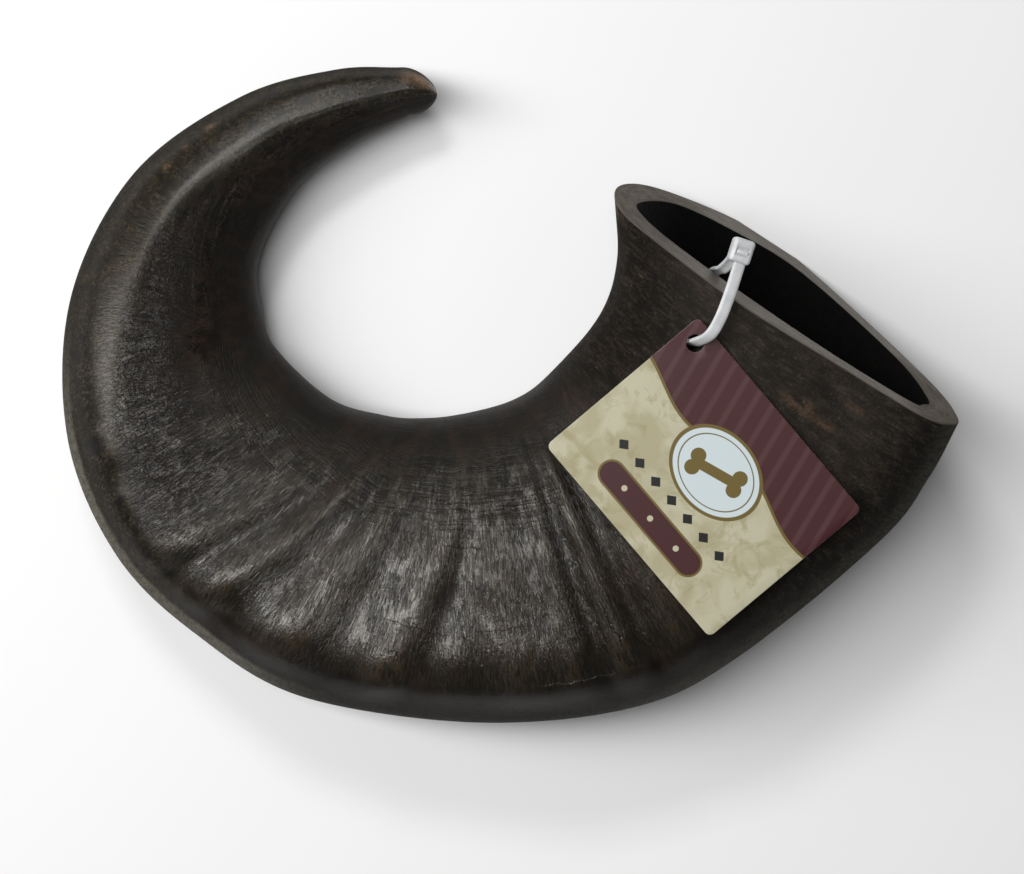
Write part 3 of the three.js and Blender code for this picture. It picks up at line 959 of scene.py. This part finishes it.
def horn_colour(graph, zone, grain):
    patches, mottle, streaks, specks = grain.patches, grain.mottle, grain.streaks, grain.specks
    dark = graph.mix(patches.ramp(0.42, 0.62) * mottle.ramp(0.38, 0.62) * 0.6, HORN_DARK, HORN_BROWN)
    # painted shade along the outer edge and on the band's stripe
    painted_shade_edge = (zone.outer_edge * (1 - zone.band) + zone.shade_stripe).least(1)
    # partly dusty wear, partly painted light from the floor's bounce on the steep outer flank
    flank = (zone.across + 0.02 * grain.wander).ramp(0.938, 0.962) * zone.near_flank + zone.far_flank * 0.35
    lines = grain.splits * (zone.bark + zone.folded) + grain.crackle + grain.arcs + grain.cracks
    return graph.layered(dark, [
        (zone.bark * mottle.ramp(0.42, 0.65) * 0.7, HORN_BROWN),
        # painted sheen on the folded face, heaviest on the fold crests
        (zone.folded * (0.3 + 0.6 * zone.crest.ramp(0.1, 1.4)), FOLD_SHEEN_GREY),
        (zone.folded * patches.ramp(0.5, 0.66) * mottle.ramp(0.4, 0.62) * 0.5, HORN_RED),
        # partly dark grain, partly painted shade in the fine valleys between the raised lines
        (zone.folded * (1 - grain.lines) * 0.45, CRACK_AND_SHADE_BLACK),
        (zone.band * streaks.ramp(0.36, 0.62), HORN_OLIVE),
        # painted shade along the outer edge and the band's stripe
        (painted_shade_edge * 0.9, CRACK_AND_SHADE_BLACK),
        (zone.band_top * mottle.ramp(0.4, 0.6) * specks.ramp(0.46, 0.62) * 0.7, HORN_OCHRE),
        (zone.mouth * streaks.ramp(0.4, 0.62) * mottle.ramp(0.36, 0.58), HORN_DUSTY),
        (flank * (0.5 + 0.5 * streaks.ramp(0.3, 0.6)), FLANK_DUST_AND_LIGHT),
        (lines.least(1) * 0.9, CRACK_AND_SHADE_BLACK),
        (zone.mouth * (grain.scratches + specks.ramp(0.58, 0.7) * 0.4).least(1) * 0.6, SCRATCHED),
        (zone.mouth * specks.between(0, 0.01, 0.36, 0.08) * 0.7, CRACK_AND_SHADE_BLACK),
        (zone.rub * mottle.ramp(0.3, 0.5) * (0.6 + 0.4 * specks.ramp(0.42, 0.58)), HORN_TAN),
        (zone.sawn * (0.35 + 0.4 * mottle.ramp(0.3, 0.7) + 0.25 * streaks.ramp(0.4, 0.6)), SAWN_GREY),
    ])


def horn_height(zone, grain):
    """The finest relief, in millimetres."""
    crinkle, glint, fibres, streaks = grain.crinkle, grain.glint, grain.fibres, grain.streaks
    return (
        zone.folded * (crinkle * 0.08 + glint * 0.09 + grain.lines * 0.025 - grain.splits * 0.09)
        + zone.bark * (crinkle * 0.12 + fibres * 0.1 + glint * 0.11 - grain.splits * 0.12)
        + zone.tip_face * (grain.slants * 0.38 + crinkle * 0.2 + glint * 0.16 + grain.flakes * 0.06)
        + zone.tip_band * (crinkle * 0.07 + glint * 0.09)
        + zone.band * (streaks * 0.12 + grain.lines * 0.012)
        + zone.outer_edge * (streaks * 0.16 + glint * 0.12)
        + zone.inner * (fibres * 0.26 + glint * 0.11 + crinkle * 0.1)
        + zone.mouth * (streaks * 0.07 + grain.mottle * 0.06 + glint * 0.05 + grain.specks * 0.05)
        + zone.sawn * (streaks * 0.12 + glint * 0.06)
        + grain.specks * (0.016 + 0.02 * (zone.band + zone.outer_edge).least(1)) + fibres * 0.02
        - grain.crackle * 0.12 - grain.arcs * 0.12 - grain.cracks * 0.25
    )


def horn_roughness(zone, grain):
    valleys = 1 - grain.crinkle.ramp(0.4, 0.56)
    return (
        0.185 + 0.07 * grain.mottle + 0.04 * grain.specks + 0.25 * (grain.arcs + grain.crackle)
        + zone.folded * (valleys * 0.08 + grain.splits * 0.25)
        + zone.bark * (0.14 + grain.splits * 0.2)
        + zone.mouth * (0.45 - 0.2 * zone.across.ramp(0.35, 0.75))
        + 0.12 * zone.band - 0.09 * zone.tip_band + 0.03 * zone.tip_face
        + 0.31 * zone.roll_off + 0.46 * zone.outer_edge + 0.2 * zone.sawn
    )


def horn_polish(zone, grain):
    """How far the horn is worn to a shine, from 0 to 1."""
    polish = (
        zone.folded * (0.34 + 0.54 * grain.lines - 0.3 * grain.splits)
        + zone.bark * (0.35 - 0.3 * grain.crackle)
        + zone.near_crease * (0.04 + 0.3 * grain.lines)
        + zone.tip_band
    )
    return polish.least(1)


def horn_material():
    graph = Graph("horn")
    zone = horn_zones(graph)
    grain = horn_grain(graph, zone)
    normal = graph.bump(horn_height(zone, grain))
    return graph.finish(
        Base_Color=horn_colour(graph, zone, grain), Roughness=horn_roughness(zone, grain), Normal=normal,
        Coat_Weight=horn_polish(zone, grain), Coat_Normal=normal, Coat_Roughness=0.2, Coat_IOR=1.5,
        IOR=1.33, Specular_Tint=(1, 0.92, 0.8),
    )


def hollow_material():
    graph = Graph("hollow")
    place = graph.add("ShaderNodeTexCoord", {}, "Object")
    rough = graph.noise(place, 500, 4, 0.6)
    # painted shade: the hollow's inside darker than the horn's own dark
    base = graph.mix(rough.ramp(0.45, 0.75), HOLLOW_SHADE_BLACK, HORN_DARK)
    return graph.finish(
        Base_Color=base, Roughness=0.8 + 0.1 * rough, Normal=graph.bump(rough * 0.3), Specular_IOR_Level=0.1
    )


# The card's print

CREAM = (0.375, 0.34, 0.215)
CREAM_PALE = (0.47, 0.445, 0.315)
CREAM_OCHRE = (0.30, 0.258, 0.134)
MAROON = (0.052, 0.0125, 0.014)
MAROON_PALE = (0.088, 0.038, 0.040)
GOLD = (0.135, 0.098, 0.022)
INK = (0.011, 0.010, 0.010)
MEDALLION = (0.56, 0.63, 0.65)
PAPER = (0.40, 0.38, 0.33)

# Places and sizes on the card in millimetres, from its middle.
FIELD_EDGE = 8.5
FIELD_WAVE = 2.2
FIELD_WAVE_LENGTH = 46
STRIPE_PITCH = 5.2
MEDALLION_MIDDLE = (0.8, 3.5)
MEDALLION_RADIUS = 11
MEDALLION_STRETCH = 1.3
BONE_MIDDLE = (2.2, 2.9)
BONE_HALF_LENGTH = 6.6
BONE_RADIUS = 2.9
BAR_MIDDLE = (-1, -18.6)
BAR_HALF = (20, 3.7)
DOT_SPACING = 11
DOT_RADIUS = 0.85
DIAMONDS_MIDDLE = (-1, -10.8)
DIAMOND_SPACING = 6.8
BORDER_HALF = (TAG_LENGTH / 2 - 2, TAG_WIDTH / 2 - 2)


def box_distance(x, y, middle, half, radius):
    """Distance outside a round-cornered rectangle, negative inside it."""
    across = abs(x - middle[0]) - (half[0] - radius)
    up = abs(y - middle[1]) - (half[1] - radius)
    beyond = (across.most(0) * across.most(0) + up.most(0) * up.most(0)).power(0.5)
    return beyond + across.most(up).least(0) - radius


def circle_distance(x, y, middle, radius):
    dx = x - middle[0]
    dy = y - middle[1]
    return (dx * dx + dy * dy).power(0.5) - radius


def filled(distance, softness=0.1):
    return 1 - distance.ramp(-softness, softness)


def line(distance, width):
    return filled(abs(distance) - width / 2)


def bone_distance(x, y, middle, half_length, radius):
    shape = box_distance(x, y, middle, (half_length, radius * 0.5), radius * 0.2)
    for side in (-1, 1):
        for up in (-1, 1):
            knob = (middle[0] + side * half_length, middle[1] + up * radius * 0.62)
            shape = shape.least(circle_distance(x, y, knob, radius * 0.75))
    return shape


def card_material():
    graph = Graph("printed_card")
    uv = graph.add("ShaderNodeUVMap", {}, uv_map="UVMap")
    x, y = graph.parts(graph.scaled(uv, (10, 10, 10)))
    printed = graph.attribute("printed")

    clouds = graph.noise(uv, 0.8, 3, 0.5, 0.5)
    stains = graph.noise(uv, 1.15, 3, 0.6, 1.4)
    ground = graph.layered(CREAM, [
        (clouds.ramp(0.38, 0.62), CREAM_PALE),
        (stains.ramp(0.55, 0.58) * 0.3 + stains.ramp(0.62, 0.65) * 0.3, CREAM_OCHRE),
    ])

    wave = graph.math("SINE", x * (2 * math.pi / FIELD_WAVE_LENGTH) + 0.6)
    field = y - (FIELD_EDGE + FIELD_WAVE * wave)
    stripes = graph.math("SINE", (x + y * 0.35) * (2 * math.pi / STRIPE_PITCH)).ramp(0.1, 1.0)
    medallion = circle_distance(x / MEDALLION_STRETCH, y, MEDALLION_MIDDLE, MEDALLION_RADIUS)
    bone = bone_distance(x * 0.94 + y * 0.34, y * 0.94 - x * 0.34, BONE_MIDDLE, BONE_HALF_LENGTH, BONE_RADIUS)
    bar = box_distance(x, y, BAR_MIDDLE, BAR_HALF, BAR_HALF[1])
    dot_x = graph.math("PINGPONG", x - BAR_MIDDLE[0], DOT_SPACING / 2)
    dots = circle_distance(dot_x, y, (0, BAR_MIDDLE[1]), DOT_RADIUS)
    inside_bar = filled(box_distance(x, y, BAR_MIDDLE, (14.5, 3), 1))
    diamond_x = graph.math("PINGPONG", x - DIAMONDS_MIDDLE[0], DIAMOND_SPACING / 2)
    diamonds = diamond_x * 0.7 + abs(y - DIAMONDS_MIDDLE[1]) * 0.8 - 1.35
    row = filled(box_distance(x, y, DIAMONDS_MIDDLE, (22.1, 3), 0.5))
    art = graph.layered(ground, [
        (field.ramp(-0.1, 0.1), graph.mix(stripes * 0.6, MAROON, MAROON_PALE)),
        (line(field, 0.8), GOLD),
        (filled(medallion), MEDALLION),
        (line(medallion, 0.9), GOLD),
        (line(medallion + 1.8, 0.3), GOLD),
        (filled(bone), GOLD),
        (filled(bar), MAROON),
        (line(bar, 0.6), GOLD),
        (filled(dots) * inside_bar, CREAM_PALE),
        (filled(diamonds) * row, INK),
    ])

    back = graph.mix(line(box_distance(x, y, (0, 0), BORDER_HALF, 1.5), 0.3), ground, GOLD)
    on_face = abs(printed).ramp(0.05, 0.3)
    base = graph.mix(on_face, PAPER, graph.mix(printed.ramp(-0.6, -0.4), back, art))
    fibre = graph.noise(uv, 26, 3, 0.6)
    return graph.finish(
        Base_Color=base, Roughness=0.36 + 0.1 * clouds + 0.25 * (1 - on_face),
        Normal=graph.bump(fibre * 0.02 + clouds * 0.05), Specular_IOR_Level=0.25,
    )


# The nylon's and the floor's looks

NYLON_SHADED = (0.53, 0.54, 0.55)
NYLON_WHITE = (0.62, 0.63, 0.64)
FLOOR_GREY = (0.84, 0.84, 0.84)
FLOOR_PALE = (0.87, 0.87, 0.87)


def nylon_material():
    graph = Graph("nylon")
    place = graph.add("ShaderNodeTexCoord", {}, "Object")
    cloud = graph.noise(place, 260, 3, 0.5)
    grain = graph.noise(place, 2600, 2, 0.5)
    base = graph.mix(cloud.ramp(0.3, 0.7), NYLON_SHADED, NYLON_WHITE)
    graph.shader.inputs["Subsurface Radius"].default_value = (0.002, 0.002, 0.002)
    return graph.finish(
        Base_Color=base, Roughness=0.28 + 0.16 * cloud, Normal=graph.bump(grain * 0.02 + cloud * 0.06),
        Subsurface_Weight=0.15, Subsurface_Scale=1.0,
    )


def floor_material():
    graph = Graph("floor")
    place = graph.add("ShaderNodeTexCoord", {}, "Object")
    cloud = graph.noise(place, 3, 2, 0.5)
    base = graph.mix(cloud, FLOOR_GREY, FLOOR_PALE)
    return graph.finish(Base_Color=base, Roughness=0.6 + 0.1 * cloud)


# The studio

FLOOR_REACH = 6000
WORLD_STRENGTH = 0.09
LIGHT_DISTANCE = 1.3

# Each light's direction from the horn, its size in metres and its power in watts.
LIGHTS = {
    "key": ((-0.52, 0.10, 0.85), (0.38, 1.75), 20),
    "far_side": ((-0.2, 0.62, 0.77), (0.35, 0.2), 4.2),
}


def make_floor():
    corners = [[x * FLOOR_REACH, y * FLOOR_REACH, 0] for x, y in ((-1, -1), (1, -1), (1, 1), (-1, 1))]
    floor = make_object("floor", corners, [[0, 1, 2, 3]], floor_material())


def make_light(name, direction, size, power):
    data = bpy.data.lights.new(name, "AREA")
    data.shape = "RECTANGLE"
    data.size, data.size_y = size
    data.energy = power
    lamp = bpy.data.objects.new(name, data)
    lamp.location = Vector(direction).normalized() * LIGHT_DISTANCE
    lamp.rotation_euler = lamp.location.to_track_quat("Z", "Y").to_euler()
    bpy.context.scene.collection.objects.link(lamp)


def make_world():
    world = bpy.data.worlds.new("studio")
    world.use_nodes = True
    background = world.node_tree.nodes["Background"]
    background.inputs["Color"].default_value = (1, 1, 1, 1)
    background.inputs["Strength"].default_value = WORLD_STRENGTH
    bpy.context.scene.world = world


def make_camera():
    data = bpy.data.cameras.new("camera")
    data.lens = CAMERA_LENS
    data.sensor_width = SENSOR_WIDTH
    camera = bpy.data.objects.new("camera", data)
    camera.location = CAMERA_PLACE
    bpy.context.scene.collection.objects.link(camera)
    bpy.context.scene.camera = camera


def make_studio():
    make_floor()
    make_world()
    for name, settings in LIGHTS.items():
        make_light(name, *settings)
    bpy.context.scene.view_settings.view_transform = "Standard"
    light_paths = bpy.context.scene.cycles
    light_paths.max_bounces = 4
    light_paths.diffuse_bounces = light_paths.glossy_bounces = 2


def dress(piece, slot, *nodes):
    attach(piece, "root")
    if nodes:
        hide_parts(*nodes)


make_camera()
make_studio()

horn_finish = horn_material()
horn = make_horn(horn_finish, hollow_material())
drill(horn, horn_finish)
dress(horn, "horn", "horn")

dress(make_card(card_material()), "printed_card", "hang_tag")

nylon = nylon_material()
dress(make_strap(nylon), "nylon", "cable_tie")
for part in make_head(nylon):
    dress(part, "nylon")
